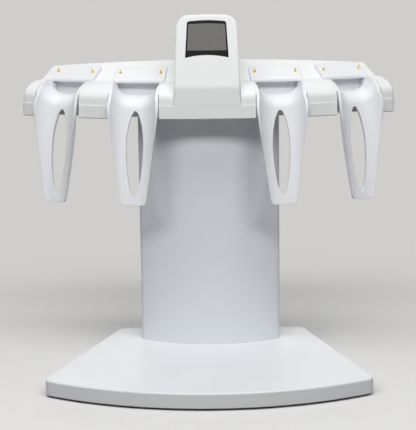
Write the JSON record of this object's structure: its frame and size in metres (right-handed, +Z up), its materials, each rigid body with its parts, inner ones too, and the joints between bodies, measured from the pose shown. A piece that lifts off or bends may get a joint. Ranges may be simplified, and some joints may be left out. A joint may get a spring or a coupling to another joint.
{
  "type": "pipette charging stand",
  "caption": "Bench stand that holds and charges electronic pipettes on slotted hangers along an arc-shaped head, with a small display on a wide weighted column.",
  "frame": {"origin": "middle of the footprint box, on the bench surface under the feet", "axes": "+Z up; -Y towards the user, whom the display faces; +X to the user's right"},
  "size_m": [0.3212, 0.202, 0.2997],
  "materials": {
    "head_white": "fine satin injection-moulded ABS",
    "hanger_white": "smooth satin injection-moulded ABS",
    "base_white": "satin moulded ABS",
    "column_silver": "satin light grey enamel",
    "floor_plate": "black powder-coated steel sheet",
    "ballast_iron": "rough casting",
    "foot_rubber": "moulded non-slip",
    "spine_steel": "zinc-plated pressed sheet",
    "screw_steel": "zinc-plated",
    "circuit_board": "green solder mask",
    "contact_gold": "gold-plated brass",
    "inlet_black": "moulded",
    "display_window": "clear acrylic with a dark printed border",
    "lcd_grey": "unlit reflective LCD"
  },
  "bodies": {
    "stand": {"base_cover": "base_white", "base_floor": "floor_plate", "base_weight": "ballast_iron", "base_feet": "foot_rubber", "base_screws": "screw_steel", "base_bolts": "screw_steel", "column_front": "column_silver", "column_rear_cover": "column_silver", "column_spine": "spine_steel", "rear_screws": "screw_steel", "power_inlet": "inlet_black", "head_tray": "head_white", "head_cover": "head_white", "cover_screws": "screw_steel", "head_bolts": "screw_steel", "main_board": "circuit_board", "hanger_screws": "screw_steel", "rail_screws": "screw_steel", "display_lens": "display_window", "display_housing": "head_white", "display_back": "head_white", "lcd_module": "lcd_grey", "display_board": "circuit_board", "display_screws": "screw_steel", "hanger_left_outer": "hanger_white", "contact_rail_left_outer": "hanger_white", "contact_board_left_outer": "circuit_board", "contact_sleeves_left_outer": "contact_gold", "hanger_left_inner": "hanger_white", "contact_rail_left_inner": "hanger_white", "contact_board_left_inner": "circuit_board", "contact_sleeves_left_inner": "contact_gold", "hanger_right_inner": "hanger_white", "contact_rail_right_inner": "hanger_white", "contact_board_right_inner": "circuit_board", "contact_sleeves_right_inner": "contact_gold", "hanger_right_outer": "hanger_white", "contact_rail_right_outer": "hanger_white", "contact_board_right_outer": "circuit_board", "contact_sleeves_right_outer": "contact_gold"},
    "contact_pin_left_outer_a": {"contact_pin_left_outer_a": "contact_gold"},
    "contact_pin_left_outer_b": {"contact_pin_left_outer_b": "contact_gold"},
    "contact_pin_left_inner_a": {"contact_pin_left_inner_a": "contact_gold"},
    "contact_pin_left_inner_b": {"contact_pin_left_inner_b": "contact_gold"},
    "contact_pin_right_inner_a": {"contact_pin_right_inner_a": "contact_gold"},
    "contact_pin_right_inner_b": {"contact_pin_right_inner_b": "contact_gold"},
    "contact_pin_right_outer_a": {"contact_pin_right_outer_a": "contact_gold"},
    "contact_pin_right_outer_b": {"contact_pin_right_outer_b": "contact_gold"}
  },
  "joints": [
    {"name": "press_left_outer_a", "type": "slide", "parent": "stand", "child": "contact_pin_left_outer_a", "axis": [0.2532, 0.497, -0.83], "range_m": [0, 0.002], "stiffness_N_per_m": 300},
    {"name": "press_left_outer_b", "type": "slide", "parent": "stand", "child": "contact_pin_left_outer_b", "axis": [0.2532, 0.497, -0.83], "range_m": [0, 0.002], "stiffness_N_per_m": 300},
    {"name": "press_left_inner_a", "type": "slide", "parent": "stand", "child": "contact_pin_left_inner_a", "axis": [0.0873, 0.5509, -0.83], "range_m": [0, 0.002], "stiffness_N_per_m": 300},
    {"name": "press_left_inner_b", "type": "slide", "parent": "stand", "child": "contact_pin_left_inner_b", "axis": [0.0873, 0.5509, -0.83], "range_m": [0, 0.002], "stiffness_N_per_m": 300},
    {"name": "press_right_inner_a", "type": "slide", "parent": "stand", "child": "contact_pin_right_inner_a", "axis": [-0.0873, 0.5509, -0.83], "range_m": [0, 0.002], "stiffness_N_per_m": 300},
    {"name": "press_right_inner_b", "type": "slide", "parent": "stand", "child": "contact_pin_right_inner_b", "axis": [-0.0873, 0.5509, -0.83], "range_m": [0, 0.002], "stiffness_N_per_m": 300},
    {"name": "press_right_outer_a", "type": "slide", "parent": "stand", "child": "contact_pin_right_outer_a", "axis": [-0.2532, 0.497, -0.83], "range_m": [0, 0.002], "stiffness_N_per_m": 300},
    {"name": "press_right_outer_b", "type": "slide", "parent": "stand", "child": "contact_pin_right_outer_b", "axis": [-0.2532, 0.497, -0.83], "range_m": [0, 0.002], "stiffness_N_per_m": 300}
  ]
}
